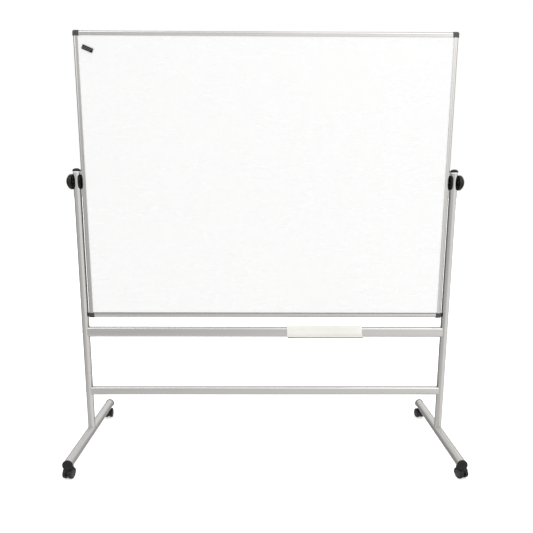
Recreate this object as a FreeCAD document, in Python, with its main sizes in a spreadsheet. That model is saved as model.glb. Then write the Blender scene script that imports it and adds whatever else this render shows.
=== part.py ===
import FreeCAD, Part

import math
import os

import Sketcher

# A rolling whiteboard: a framed double-sided board that turns between two posts, which stand on
# two tubular feet with castors and are tied by two rails, the upper one carrying a sliding pen tray.
# Millimetres. +X to the right, +Y from front to back, +Z up; Z = 0 is the floor, X = 0 the middle
# between the posts and Y = 0 the middle of the feet.

doc = FreeCAD.newDocument("RollingWhiteboard")

# --- Driving dimensions -------------------------------------------------------------------------

DIMENSIONS = {
    # board
    "board_width": 1500.0,
    "board_height": 1146.0,
    "board_rise": 5.0,
    "pivot_height": 1147.0,
    "frame_face": 18.5,
    "frame_depth": 22.0,
    "frame_wall": 2.2,
    "frame_lip": 1.9,
    "frame_round": 9.0,
    "chamber": 6.4,
    "chamber_deep": 13.0,
    "groove_at": 9.8,
    "groove_wide": 1.2,
    "groove_deep": 0.8,
    "corner_wide": 23.0,
    "corner_tall": 20.0,
    "corner_proud": 0.7,
    "corner_round": 8.0,
    "corner_soft": 3.0,
    "tongue_length": 28.0,
    "tongue_root": 4.0,
    "fit_gap": 0.1,
    "panel_inset": 6.9,
    "sheet_thick": 0.6,
    "magnet_length": 43.5,
    "magnet_width": 17.0,
    "magnet_thick": 5.0,
    "magnet_round": 1.5,
    "magnet_from_side": 53.0,
    "magnet_from_top": 67.5,
    "magnet_tilt": 22.5,
    # posts
    "post_x": 769.0,
    "post_y": 11.0,
    "post_top": 1189.0,
    "post_radius": 15.0,
    "post_wall": 2.0,
    "port_radius": 7.6,
    "port_bore": 5.1,
    "web_thick": 2.6,
    "cope_gap": 0.02,
    "cap_radius": 15.4,
    "cap_height": 12.0,
    "cap_bulge": 16.6,
    "cap_pin": 18.0,
    "cap_pin_root": 1.0,
    # feet
    "foot_radius": 19.0,
    "foot_wall": 2.0,
    "foot_height": 63.0,
    "foot_length": 571.0,
    "foot_cap_radius": 20.2,
    "foot_cap_thick": 5.0,
    "foot_cap_dome": 3.2,
    "foot_plug": 62.0,
    "foot_bolt_radius": 5.0,
    "foot_bolt_room": 0.3,
    "foot_bolt_top": 144.0,
    "foot_head_radius": 9.0,
    "foot_head_tall": 5.0,
    "foot_head_seat": 1.2,
    "foot_socket_radius": 3.0,
    "foot_socket_deep": 3.0,
    # rails
    "rail_depth": 25.0,
    "rail_wall": 2.0,
    "rail_round": 8.0,
    "upper_rail_z": 513.5,
    "upper_rail_tall": 42.0,
    "lower_rail_z": 247.0,
    "lower_rail_tall": 35.0,
    "rail_port": 5.6,
    "rail_bore": 3.1,
    "rail_bolt_radius": 3.0,
    "rail_bolt_length": 62.0,
    "rail_head_radius": 5.5,
    "rail_head_tall": 1.6,
    "rail_head_seat": 1.4,
    "rail_socket_radius": 2.0,
    "rail_socket_deep": 1.0,
    "bolt_room": 0.2,
    # pivots and knobs
    "knob_radius": 31.0,
    "knob_rim": 11.0,
    "knob_thick": 26.5,
    "knob_gap": 0.4,
    "knob_bore_deep": 15.0,
    "stud_radius": 4.0,
    "stud_reach": 38.0,
    "running_gap": 0.06,
    "pivot_gap": 0.3,
    "collar_radius": 29.5,
    "collar_thick": 3.6,
    "flange_radius": 27.0,
    "flange_thick": 2.6,
    "sleeve_radius": 7.5,
    "sleeve_length": 46.0,
    "notch_width": 13.0,
    # tray
    "tray_left": 92.0,
    "tray_length": 320.0,
    "tray_wall": 2.0,
    "tray_above_rail": 12.0,
    "tray_drop": 32.0,
    "tray_reach": 38.0,
    "tray_lip": 6.0,
    "tray_bend": 24.0,
    "tray_lip_bend": 3.0,
    "tray_hook_drop": 14.0,
    "tray_gap": 0.25,
    # castors
    "wheel_radius": 20.5,
    "wheel_width": 12.6,
    "wheel_round": 2.5,
    "wheel_inner": 5.4,
    "axle_radius": 3.0,
    "axle_head": 5.0,
    "axle_boss": 12.5,
    "dish": 1.2,
    "dish_radius": 14.8,
    "castor_trail": 16.5,
    "castor_inset": 36.0,
    "hood_radius": 22.6,
    "hood_pocket": 21.2,
    "hood_web": 4.9,
    "hood_side": 1.0,
    "hood_clear": 0.4,
    "hood_nose": 15.0,
    "hood_brow": 4.0,
    "hood_skirt": 12.0,
    "boss_radius": 10.5,
    "stem_radius": 4.6,
    "stem_room": 1.0,
    "stem_bottom": 28.0,
    "stem_top": 76.0,
}

dims = doc.addObject("Spreadsheet::Sheet", "Dims")
for row, (alias, value) in enumerate(DIMENSIONS.items(), start=1):
    dims.set("A%d" % row, alias)
    dims.set("B%d" % row, str(value))
    dims.setAlias("B%d" % row, alias)
doc.recompute()

X_AXIS = FreeCAD.Vector(1, 0, 0)
Y_AXIS = FreeCAD.Vector(0, 1, 0)
Z_AXIS = FreeCAD.Vector(0, 0, 1)
ALONG = {
    "X": FreeCAD.Rotation(Y_AXIS, 90),
    "Y": FreeCAD.Rotation(X_AXIS, -90),
    "Z": FreeCAD.Rotation(),
}
SIDES = (("left", -1), ("right", 1))
ENDS = (("front", -1), ("back", 1))

nodes = []


def sheet(text):
    """Turn $name into a reference to that cell of the sheet."""
    return text.replace("$", "Dims.")


def bind(thing, **sizes):
    for name, text in sizes.items():
        thing.setExpression(name, sheet(text))


def place(thing, x="0", y="0", z="0", rotation=None):
    if rotation is not None:
        thing.Placement = FreeCAD.Placement(FreeCAD.Vector(), rotation)
    thing.setExpression("Placement.Base.x", sheet(x))
    thing.setExpression("Placement.Base.y", sheet(y))
    thing.setExpression("Placement.Base.z", sheet(z))
    return thing


def keep(thing, label):
    """Make an object of the document one of the sub-parts."""
    thing.Label = label
    nodes.append(thing)
    return thing


# --- Primitives and booleans --------------------------------------------------------------------


def box(name, length, width, height, x, y, z, rotation=None):
    solid = doc.addObject("Part::Box", name)
    bind(solid, Length=length, Width=width, Height=height)
    return place(solid, x, y, z, rotation)


def cylinder(name, radius, height, x, y, z, along="Z"):
    solid = doc.addObject("Part::Cylinder", name)
    bind(solid, Radius=radius, Height=height)
    return place(solid, x, y, z, ALONG[along])


def ball(name, radius, x, y, z):
    solid = doc.addObject("Part::Sphere", name)
    bind(solid, Radius=radius)
    return place(solid, x, y, z)


def cut(name, base, *tools):
    result = base
    for number, tool in enumerate(tools, start=1):
        step = doc.addObject("Part::Cut", "%s_%d" % (name, number))
        step.Base = result
        step.Tool = tool
        result = step
    return result


def fuse(name, *solids):
    result = doc.addObject("Part::MultiFuse", name)
    result.Shapes = list(solids)
    return result


def common(name, *solids):
    result = doc.addObject("Part::MultiCommon", name)
    result.Shapes = list(solids)
    return result


# --- Bodies and sketches ------------------------------------------------------------------------


def new_body(name):
    return doc.addObject("PartDesign::Body", name)


def new_sketch(body, name, role):
    plane = next(f for f in body.Origin.OriginFeatures if f.Role == role)
    drawing = body.newObject("Sketcher::SketchObject", name)
    drawing.AttachmentSupport = (plane, [""])
    drawing.MapMode = "FlatFace"
    return drawing


def pin_point(drawing, line, end, x, y):
    """Hold one end of a line at bound distances from the sketch's origin."""
    for kind, text in (("DistanceX", x), ("DistanceY", y)):
        index = drawing.addConstraint(Sketcher.Constraint(kind, -1, 1, line, end, 1.0))
        drawing.setExpression("Constraints[%d]" % index, sheet(text))


def polygon(drawing, corners):
    """Close a polygon whose corners are bound to the sheet, however many it has."""
    count = len(corners)
    first = drawing.GeometryCount
    turn = 2 * math.pi / count
    ring = [FreeCAD.Vector(20 * math.cos(turn * i), 20 * math.sin(turn * i), 0) for i in range(count)]
    for i in range(count):
        drawing.addGeometry(Part.LineSegment(ring[i], ring[(i + 1) % count]), False)
    for i in range(count):
        after = first + (i + 1) % count
        drawing.addConstraint(Sketcher.Constraint("Coincident", first + i, 2, after, 1))
    for i, (x, y) in enumerate(corners):
        pin_point(drawing, first + i, 1, x, y)


def rectangle(drawing, left, right, low, high):
    polygon(drawing, [(left, low), (right, low), (right, high), (left, high)])


def circle(drawing, radius):
    """A circle about the sketch's origin."""
    index = drawing.addGeometry(Part.Circle(FreeCAD.Vector(), Z_AXIS, 5.0), False)
    drawing.addConstraint(Sketcher.Constraint("Coincident", index, 3, -1, 1))
    held = drawing.addConstraint(Sketcher.Constraint("Radius", index, 5.0))
    drawing.setExpression("Constraints[%d]" % held, sheet(radius))


def pad(body, name, drawing, length):
    feature = body.newObject("PartDesign::Pad", name)
    feature.Profile = drawing
    bind(feature, Length=length)
    body.Tip = feature
    doc.recompute()
    return feature


def round_edges(body, name, base, radius, test):
    """Fillet the edges of a body's feature that a test picks."""
    picked = ["Edge%d" % n for n, edge in enumerate(base.Shape.Edges, start=1) if test(edge)]
    feature = body.newObject("PartDesign::Fillet", name)
    feature.Base = (base, picked)
    bind(feature, Radius=radius)
    body.Tip = feature
    doc.recompute()
    return feature


def is_long_at(edge, points, axis):
    """True for a straight edge along an axis that passes through one of the given 2-D points."""
    if len(edge.Vertexes) != 2:
        return False
    start, end = (vertex.Point for vertex in edge.Vertexes)
    if abs(abs((end - start).normalize().dot(axis)) - 1) > 1e-6:
        return False
    flat = [start.y, start.z] if axis == X_AXIS else [start.x, start.y]
    return any(math.dist(flat, point) < 1e-3 for point in points)


# --- Board --------------------------------------------------------------------------------------

# The frame lengths and the corner caps are drawn at the bottom left corner and turned about the
# Y axis: a quarter turn takes that corner to the top left one, and so on round the board.
BOARD_MIDDLE = "($pivot_height + $board_rise)"
CORNERS = (
    ("bottom_left", "left", 0, "-", "-"),
    ("top_left", "top", 90, "-", "+"),
    ("top_right", "right", 180, "+", "+"),
    ("bottom_right", "bottom", 270, "+", "-"),
)


def frame_length(name, angle, x, z, length, bush_at=None):
    """A length with a closed chamber outside, a slot for the panel inside and a hole for a bush."""
    body = new_body(name)
    half = "$frame_depth / 2"
    slot = "(%s - $frame_lip)" % half
    groove = "(%s - $groove_deep)" % half
    groove_end = "$groove_at + $groove_wide"
    section = new_sketch(body, name + "_section", "XY_Plane")
    front = [
        ("0", half),
        ("$groove_at", half),
        ("$groove_at", groove),
        (groove_end, groove),
        (groove_end, half),
        ("$frame_face", half),
        ("$frame_face", slot),
        ("$chamber", slot),
    ]
    mirrored = [(x, "-%s" % y) for x, y in front]
    polygon(section, mirrored + front[::-1])
    rectangle(
        section, "$frame_wall", "$chamber - $frame_wall", "-$chamber_deep / 2", "$chamber_deep / 2",
    )
    bar = pad(body, name + "_bar", section, length)
    deep = DIMENSIONS["frame_depth"] / 2
    outer_edges = [(0, -deep), (0, deep)]
    bar = round_edges(
        body, name + "_round", bar, "$frame_round", lambda e: is_long_at(e, outer_edges, Z_AXIS)
    )
    if bush_at is not None:
        hole_sketch = new_sketch(body, name + "_hole_sketch", "YZ_Plane")
        index = hole_sketch.addGeometry(Part.Circle(FreeCAD.Vector(0, 20, 0), Z_AXIS, 5.0), False)
        for kind, text in (("DistanceX", "0"), ("DistanceY", bush_at)):
            held = hole_sketch.addConstraint(Sketcher.Constraint(kind, -1, 1, index, 3, 1.0))
            hole_sketch.setExpression("Constraints[%d]" % held, sheet(text))
        held = hole_sketch.addConstraint(Sketcher.Constraint("Radius", index, 5.0))
        hole_sketch.setExpression("Constraints[%d]" % held, sheet("$sleeve_radius + $fit_gap"))
        hole = body.newObject("PartDesign::Pocket", name + "_hole")
        hole.Profile = hole_sketch
        bind(hole, Length="$chamber * 2")
        hole.Midplane = True
        body.Tip = hole
    return place(body, x, "$post_y", z, FreeCAD.Rotation(Y_AXIS, angle))


def corner_cap(name, angle, x, z, wide, tall):
    """A moulded corner with a slot for the panel and a tongue into each frame length."""
    deep = "($frame_depth + 2 * $corner_proud)"
    block = box(
        name + "_block", "%s + $corner_proud" % wide, deep, "%s + $corner_proud" % tall,
        "-$corner_proud", "-%s / 2" % deep, "-$corner_proud",
    )
    slot = box(
        name + "_slot", wide, "$frame_depth - 2 * $frame_lip", tall,
        "$chamber", "-($frame_depth / 2 - $frame_lip)", "$chamber",
    )
    low = "$frame_wall + $fit_gap"
    long_way = "$tongue_length + $tongue_root"
    thin_way = "$chamber - 2 * (%s)" % low
    tongue_deep = "($chamber_deep - 2 * $fit_gap)"
    flat_tongue = box(
        name + "_flat_tongue", long_way, tongue_deep, thin_way,
        "%s - $tongue_root" % wide, "-%s / 2" % tongue_deep, low,
    )
    upright_tongue = box(
        name + "_upright_tongue", thin_way, tongue_deep, long_way,
        low, "-%s / 2" % tongue_deep, "%s - $tongue_root" % tall,
    )
    doc.recompute()
    proud = DIMENSIONS["corner_proud"]
    round_radius = DIMENSIONS["corner_round"]
    soft = DIMENSIONS["corner_soft"]
    picked = []
    for number, edge in enumerate(block.Shape.Edges, start=1):
        middle = edge.BoundBox.Center
        outside = [abs(value + proud) < 1e-3 for value in (middle.x, middle.z)]
        if all(outside):
            picked.append((number, round_radius, round_radius))
        elif any(outside) and abs(middle.y) > DIMENSIONS["frame_depth"] / 2:
            picked.append((number, soft, soft))
    rounded = doc.addObject("Part::Fillet", name + "_round")
    rounded.Base = block
    rounded.Edges = picked
    solid = fuse(name + "_whole", cut(name + "_open", rounded, slot), flat_tongue, upright_tongue)
    return place(solid, x, "$post_y", z, FreeCAD.Rotation(Y_AXIS, angle))


for corner, side, angle, x_sign, z_sign in CORNERS:
    corner_x = "%s$board_width / 2" % x_sign
    corner_z = "%s %s $board_height / 2" % (BOARD_MIDDLE, z_sign)
    upright = side in ("left", "right")
    sizes = ("$corner_wide", "$corner_tall") if upright else ("$corner_tall", "$corner_wide")
    keep(corner_cap("corner_" + corner, angle, corner_x, corner_z, *sizes), "corner_cap_" + corner)
    if upright:
        inward = "+" if z_sign == "-" else "-"
        start_z = "%s %s $corner_tall" % (corner_z, inward)
        half_length = "($board_height / 2 - $corner_tall)"
        bush_at = "%s %s $board_rise" % (half_length, z_sign)
        bar = frame_length("frame_" + side, angle, corner_x, start_z, "2 * " + half_length, bush_at)
    else:
        inward = "+" if x_sign == "-" else "-"
        start_x = "%s %s $corner_wide" % (corner_x, inward)
        bar = frame_length("frame_" + side, angle, start_x, corner_z, "$board_width - 2 * $corner_wide")
    keep(bar, "frame_" + side)

panel_x = "($board_width - 2 * $panel_inset)"
panel_z = "($board_height - 2 * $panel_inset)"
half_panel = "($frame_depth / 2 - $frame_lip - $fit_gap)"
panel_low = "%s - %s / 2" % (BOARD_MIDDLE, panel_z)

front_low = "$post_y - %s" % half_panel
back_low = "$post_y + %s - $sheet_thick" % half_panel
for face, low in (("front", front_low), ("back", back_low)):
    skin = box("sheet_" + face, panel_x, "$sheet_thick", panel_z, "-%s / 2" % panel_x, low, panel_low)
    keep(skin, "writing_sheet_" + face)

slab = box(
    "core_slab", panel_x, "2 * (%s - $sheet_thick)" % half_panel, panel_z,
    "-%s / 2" % panel_x, "$post_y - %s + $sheet_thick" % half_panel, panel_low,
)
sleeve_holes = []
for side, sign in SIDES:
    edge_x = "-$board_width / 2" if sign < 0 else "$board_width / 2 - $sleeve_length"
    sleeve_holes.append(cylinder(
        "core_hole_" + side, "$sleeve_radius + $fit_gap", "$sleeve_length",
        edge_x, "$post_y", "$pivot_height", "X",
    ))
keep(cut("core", slab, *sleeve_holes), "panel_core")

magnet_bar = box("magnet_bar", "$magnet_length", "$magnet_thick", "$magnet_width", "0", "0", "0")
doc.recompute()
soft = DIMENSIONS["magnet_round"]
magnet = doc.addObject("Part::Fillet", "magnet")
magnet.Base = magnet_bar
magnet.Edges = [
    (number, soft, soft)
    for number, edge in enumerate(magnet_bar.Shape.Edges, start=1)
    if edge.BoundBox.YMax < 1e-3 or edge.BoundBox.YLength > 1
]
place(
    magnet,
    "-$board_width / 2 + $magnet_from_side - $magnet_length / 2",
    "$post_y - %s - $magnet_thick" % half_panel,
    "%s + $board_height / 2 - $magnet_from_top" % BOARD_MIDDLE,
    FreeCAD.Rotation(Y_AXIS, DIMENSIONS["magnet_tilt"]),
)
keep(magnet, "bar_magnet")

# --- Feet, posts and rails ----------------------------------------------------------------------

LEVELS = ("upper", "lower")
FOOT_UNDER = "($foot_height - $foot_radius)"
FOOT_SEAT = "(%s + $foot_head_seat)" % FOOT_UNDER
RAIL_SEAT = "$post_x + $post_radius - $rail_head_seat"


def castor_y(way):
    """Where a castor's stem stands along the foot; way is -1 at the front and 1 at the back."""
    return "%d * ($foot_length / 2 - $castor_inset)" % way


def foot_tube(side, x):
    """A round tube along Y, drilled below for the post's bolt and the two castor stems."""
    name = "foot_tube_" + side
    length = "($foot_length - 2 * $foot_cap_thick)"
    start = "-%s / 2" % length
    outer = cylinder(name + "_outer", "$foot_radius", length, x, start, "$foot_height", "Y")
    inner = cylinder(name + "_inner", "$foot_radius - $foot_wall", length, x, start, "$foot_height", "Y")
    bolt_hole = cylinder(
        name + "_bolt_hole", "$foot_bolt_radius + $foot_bolt_room", "2 * $foot_height", x, "$post_y", "0"
    )
    head_hole = cylinder(
        name + "_head_hole", "$foot_head_radius + $bolt_room", FOOT_SEAT, x, "$post_y", "0"
    )
    stem_hole = "$stem_radius + $stem_room"
    stem_holes = [
        cylinder("%s_stem_hole_%s" % (name, end), stem_hole, "$foot_height", x, castor_y(way), "0")
        for end, way in ENDS
    ]
    return cut(name, outer, inner, bolt_hole, head_hole, *stem_holes)


def foot_bolt(side, x):
    """A bolt up through the foot into the post's screw port, with a hexagon-key recess below."""
    name = "foot_bolt_" + side
    head_low = "(%s - $foot_head_tall)" % FOOT_SEAT
    head = cylinder(name + "_head", "$foot_head_radius", "$foot_head_tall", x, "$post_y", head_low)
    length = "$foot_bolt_top - %s" % head_low
    shank = cylinder(name + "_shank", "$foot_bolt_radius", length, x, "$post_y", head_low)
    socket = cylinder(name + "_socket", "$foot_socket_radius", "$foot_socket_deep", x, "$post_y", head_low)
    return cut(name, fuse(name + "_solid", head, shank), socket)


def foot_cap(side, x, end, way):
    """A slightly domed end cap, with a long plug in the tube that takes the castor's stem."""
    name = "foot_cap_%s_%s" % (side, end)
    tip = "%d * $foot_length / 2" % way
    shoulder = "%d * ($foot_length / 2 - $foot_cap_thick)" % way
    flange_start, plug_start = (tip, shoulder) if way < 0 else (shoulder, "%s - $foot_plug" % shoulder)
    flange = cylinder(
        name + "_flange", "$foot_cap_radius", "$foot_cap_thick", x, flange_start, "$foot_height", "Y"
    )
    dome_radius = "(($foot_cap_radius ^ 2 + $foot_cap_dome ^ 2) / (2 * $foot_cap_dome))"
    dome_y = "%d * ($foot_length / 2 - %s)" % (way, dome_radius)
    dome = ball(name + "_dome", dome_radius, x, dome_y, "$foot_height")
    plug_radius = "$foot_radius - $foot_wall - $fit_gap"
    plug = cylinder(name + "_plug", plug_radius, "$foot_plug", x, plug_start, "$foot_height", "Y")
    bore = cylinder(
        name + "_bore", "$stem_radius + $running_gap", "$stem_top + $stem_room - %s" % FOOT_UNDER,
        x, castor_y(way), FOOT_UNDER,
    )
    return cut(name + "_cut", common(name + "_domed", fuse(name + "_solid", flange, plug), dome), bore)


def outward(name, radius, thick, sign, near, height="$pivot_height"):
    """A round plate or bar along X in the posts' plane; near is its inner face's distance from X = 0."""
    low = near if sign > 0 else "-(%s) - (%s)" % (near, thick)
    return cylinder(name, radius, thick, low, "$post_y", height, "X")


def post(side, sign, x):
    """An extruded post with a screw port down its middle, coped onto the foot."""
    name = "post_" + side
    length = "($post_top - $foot_height)"
    body = new_body(name + "_extrusion")
    section = new_sketch(body, name + "_section", "XY_Plane")
    circle(section, "$post_radius")
    circle(section, "$post_radius - $post_wall")
    pad(body, name + "_tube", section, length)
    place(body, x, "$post_y", "$foot_height")
    port = cylinder(name + "_port", "$port_radius", length, x, "$post_y", "$foot_height")
    web_wide = "(2 * $post_radius - $post_wall)"
    web = box(
        name + "_web", "$web_thick", web_wide, length,
        "%s - $web_thick / 2" % x, "$post_y - %s / 2" % web_wide, "$foot_height",
    )
    bore = cylinder(name + "_bore", "$port_bore", length, x, "$post_y", "$foot_height")
    foot_start = "-$foot_length / 2"
    foot_room = cylinder(
        name + "_foot_room", "$foot_radius + $cope_gap", "$foot_length", x, foot_start, "$foot_height", "Y"
    )
    across = "4 * $post_radius"
    start = "%s - 2 * $post_radius" % x
    tools = [bore, foot_room]
    tools.append(cylinder(
        name + "_pivot_hole", "$stud_radius + $running_gap", across, start, "$post_y", "$pivot_height", "X"
    ))
    for level in LEVELS:
        hole_name = "%s_%s_hole" % (name, level)
        height = "$%s_rail_z" % level
        tools.append(cylinder(
            hole_name, "$rail_bolt_radius + $bolt_room", across, start, "$post_y", height, "X"
        ))
        tools.append(outward(
            hole_name + "_seat", "$rail_head_radius + $bolt_room", "$post_radius", sign, RAIL_SEAT, height
        ))
    return cut(name, fuse(name + "_solid", body, port, web), *tools)


def post_cap(side, x):
    """A domed cap with a pin that grips in the post's screw port."""
    name = "post_cap_" + side
    rim = cylinder(name + "_rim", "$cap_radius", "$cap_height", x, "$post_y", "$post_top")
    dome = ball(name + "_dome", "$cap_bulge", x, "$post_y", "$post_top + $cap_height - $cap_bulge")
    pin_low = "$post_top + $cap_pin_root - $cap_pin"
    pin = cylinder(name + "_pin", "$port_bore - $fit_gap", "$cap_pin", x, "$post_y", pin_low)
    return fuse(name + "_whole", common(name + "_head", rim, dome), pin)


def rail_bolt(level, side, sign):
    """A low-headed bolt through the post into the port of a rail."""
    name = "bolt_%s_%s" % (level, side)
    height = "$%s_rail_z" % level
    head_top = "%s + $rail_head_tall" % RAIL_SEAT
    shank_start = "%s - $rail_bolt_length" % head_top
    shank = outward(name + "_shank", "$rail_bolt_radius", "$rail_bolt_length", sign, shank_start, height)
    head = outward(name + "_head", "$rail_head_radius", "$rail_head_tall", sign, RAIL_SEAT, height)
    socket = outward(
        name + "_socket", "$rail_socket_radius", "$rail_socket_deep", sign,
        "%s - $rail_socket_deep" % head_top, height,
    )
    return cut(name, fuse(name + "_solid", shank, head), socket)


def rail(name, height, tall):
    """A hollow rail with rounded edges and a screw port, its ends coped to the posts."""
    body = new_body(name + "_extrusion")
    section = new_sketch(body, name + "_section", "YZ_Plane")
    half_y = "$rail_depth / 2"
    half_z = "%s / 2" % tall
    rectangle(section, "-%s" % half_y, half_y, "-%s" % half_z, half_z)
    bar = pad(body, name + "_bar", section, "2 * $post_x")
    deep = DIMENSIONS["rail_depth"] / 2
    high = DIMENSIONS[tall.strip("$")] / 2
    edges = [(y * deep, z * high) for y in (-1, 1) for z in (-1, 1)]
    round_edges(body, name + "_round", bar, "$rail_round", lambda e: is_long_at(e, edges, X_AXIS))
    place(body, "-$post_x", "$post_y", height)

    hollow = new_body(name + "_hollow")
    inside = new_sketch(hollow, name + "_inside", "YZ_Plane")
    wall_y = "(%s - $rail_wall)" % half_y
    wall_z = "(%s - $rail_wall)" % half_z
    rectangle(inside, "-%s" % wall_y, wall_y, "-%s" % wall_z, wall_z)
    room = pad(hollow, name + "_room", inside, "2 * $post_x")
    thin = DIMENSIONS["rail_wall"]
    edges = [(y * (deep - thin), z * (high - thin)) for y in (-1, 1) for z in (-1, 1)]
    inner_round = "$rail_round - $rail_wall"
    round_edges(hollow, name + "_inner_round", room, inner_round, lambda e: is_long_at(e, edges, X_AXIS))
    place(hollow, "-$post_x", "$post_y", height)

    port = cylinder(name + "_port", "$rail_port", "2 * $post_x", "-$post_x", "$post_y", height, "X")
    web = box(
        name + "_web", "2 * $post_x", "$rail_depth - $rail_wall", "$rail_wall",
        "-$post_x", "$post_y - ($rail_depth - $rail_wall) / 2", "%s - $rail_wall / 2" % height,
    )
    bore = cylinder(name + "_bore", "$rail_bore", "2 * $post_x", "-$post_x", "$post_y", height, "X")
    copes = [
        cylinder(
            "%s_cope_%s" % (name, side), "$post_radius + $cope_gap", "2 * %s" % tall,
            "%d * $post_x" % sign, "$post_y", "%s - %s" % (height, tall),
        )
        for side, sign in SIDES
    ]
    return cut(name, fuse(name + "_solid", cut(name + "_shell", body, hollow), port, web), bore, *copes)


for side, sign in SIDES:
    post_x = "%d * $post_x" % sign
    keep(foot_tube(side, post_x), "foot_tube_" + side)
    keep(foot_bolt(side, post_x), "foot_bolt_" + side)
    for end, way in ENDS:
        keep(foot_cap(side, post_x, end, way), "foot_cap_%s_%s" % (end, side))
    keep(post(side, sign, post_x), "post_" + side)
    keep(post_cap(side, post_x), "post_cap_" + side)
    for level in LEVELS:
        keep(rail_bolt(level, side, sign), "rail_bolt_%s_%s" % (level, side))
for level in LEVELS:
    keep(rail("rail_" + level, "$%s_rail_z" % level, "$%s_rail_tall" % level), "rail_" + level)

# --- Pivots and clamping knobs ------------------------------------------------------------------


def pivot_collar(side, sign):
    """A round collar, hollowed to sit against the round post."""
    name = "pivot_collar_" + side
    near = "$board_width / 2 + $flange_thick + $pivot_gap"
    plate = outward(name + "_plate", "$collar_radius", "$collar_thick", sign, near)
    post_room = cylinder(
        name + "_post", "$post_radius + $cope_gap", "4 * $collar_radius",
        "%d * $post_x" % sign, "$post_y", "$pivot_height - 2 * $collar_radius",
    )
    bore = outward(name + "_bore", "$stud_radius + $running_gap", "2 * $collar_thick", sign, near)
    return cut(name + "_cut", plate, post_room, bore)


def pivot_bush(side, sign):
    """A bush in the board's edge: a sleeve through frame and core, and a flange on four lobes."""
    name = "pivot_bush_" + side
    edge = "$board_width / 2"
    layer = "$flange_thick / 2"
    lobes = outward(name + "_lobes", "$flange_radius", layer, sign, edge)
    gap_low = "%d * (%s + %s / 2) - $flange_thick / 2" % (sign, edge, layer)
    long_way = "2.2 * $flange_radius"
    gaps = [
        box(
            "%s_%s_gap" % (name, way), "$flange_thick", wide, tall,
            gap_low, "$post_y - %s / 2" % wide, "$pivot_height - %s / 2" % tall,
        )
        for way, wide, tall in (("upright", "$notch_width", long_way), ("level", long_way, "$notch_width"))
    ]
    plate = outward(name + "_plate", "$flange_radius", layer, sign, "%s + %s" % (edge, layer))
    hub = outward(name + "_hub", "$flange_radius / 2", "$flange_thick", sign, edge)
    inner = "%s - $sleeve_length" % edge
    sleeve = outward(name + "_sleeve", "$sleeve_radius", "$sleeve_length", sign, inner)
    bore_length = "$sleeve_length + $flange_thick"
    bore = outward(name + "_bore", "$stud_radius + $running_gap", bore_length, sign, inner)
    flange = cut(name + "_ring", lobes, *gaps)
    return cut(name + "_cut", fuse(name + "_solid", flange, plate, hub, sleeve), bore)


def knob(side, sign):
    """A domed knob: a straight rim under a part of a sphere."""
    name = "knob_" + side
    near = "$post_x + $post_radius + $knob_gap"
    drum = outward(name + "_drum", "$knob_radius", "$knob_thick", sign, near)
    rise = "($knob_thick - $knob_rim)"
    dome_radius = "(($knob_radius ^ 2 + %s ^ 2) / (2 * %s))" % (rise, rise)
    dome = ball(
        name + "_dome", dome_radius, "%d * (%s + $knob_thick - %s)" % (sign, near, dome_radius),
        "$post_y", "$pivot_height",
    )
    bore = outward(name + "_bore", "$stud_radius", "$knob_bore_deep", sign, near)
    return cut(name + "_cut", common(name + "_domed", drum, dome), bore)


def knob_stud(side, sign):
    """The threaded stud of a knob, on which the board turns."""
    inner = "$board_width / 2 - $stud_reach"
    length = "$post_x + $post_radius + $knob_gap + $knob_bore_deep - (%s)" % inner
    return outward("knob_stud_" + side, "$stud_radius", length, sign, inner)


for side, sign in SIDES:
    keep(pivot_collar(side, sign), "pivot_collar_" + side)
    keep(pivot_bush(side, sign), "pivot_bush_" + side)
    keep(knob(side, sign), "knob_" + side)
    keep(knob_stud(side, sign), "knob_stud_" + side)

# --- Pen tray -----------------------------------------------------------------------------------


def pen_tray():
    """A bent sheet: a hook over the upper rail, a back wall, a hollow trough and a front lip."""
    body = new_body("tray_body")
    section = new_sketch(body, "tray_section", "YZ_Plane")
    # Y grows towards the back; the section's origin is the top front edge of the rail.
    wall = "$tray_wall"
    gap = "$tray_gap"
    back = "($rail_depth + %s)" % gap
    low = "-$tray_drop"
    reach = "-($tray_reach + %s)" % wall
    polygon(section, [
        (back, gap),
        (back, "-$tray_hook_drop"),
        ("%s + %s" % (back, wall), "-$tray_hook_drop"),
        ("%s + %s" % (back, wall), "%s + %s" % (gap, wall)),
        ("-%s" % gap, "%s + %s" % (gap, wall)),
        ("-%s" % gap, "$tray_above_rail"),
        ("-(%s + %s)" % (gap, wall), "$tray_above_rail"),
        ("-(%s + %s)" % (gap, wall), "%s + %s" % (low, wall)),
        ("%s + %s" % (reach, wall), "%s + %s" % (low, wall)),
        ("%s + %s" % (reach, wall), "%s + $tray_lip" % low),
        (reach, "%s + $tray_lip" % low),
        (reach, low),
        ("-%s" % gap, low),
        ("-%s" % gap, gap),
    ])
    bar = pad(body, "tray_bar", section, "$tray_length")
    thick = DIMENSIONS["tray_wall"]
    clear = DIMENSIONS["tray_gap"]
    drop = DIMENSIONS["tray_drop"]
    bend_inside = [(-clear - thick, -drop + thick)]
    bend_outside = [(-clear, -drop)]
    bar = round_edges(body, "tray_bend_in", bar, "$tray_bend", lambda e: is_long_at(e, bend_inside, X_AXIS))
    bar = round_edges(
        body, "tray_bend_out", bar, "$tray_bend + $tray_wall", lambda e: is_long_at(e, bend_outside, X_AXIS)
    )
    front = -DIMENSIONS["tray_reach"] - thick
    round_edges(
        body, "tray_lip_round", bar, "$tray_lip_bend", lambda e: is_long_at(e, [(front, -drop)], X_AXIS)
    )
    return place(body, "$tray_left", "$post_y - $rail_depth / 2", "$upper_rail_z + $upper_rail_tall / 2")


keep(pen_tray(), "pen_tray")

# --- Castors ------------------------------------------------------------------------------------

# Each castor is built about its own stem, wheels towards -Y, and then turned to where it rests.
CASTOR_REST = {
    ("front", "left"): -10,
    ("front", "right"): 20,
    ("back", "left"): 183,
    ("back", "right"): 192,
}


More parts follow.
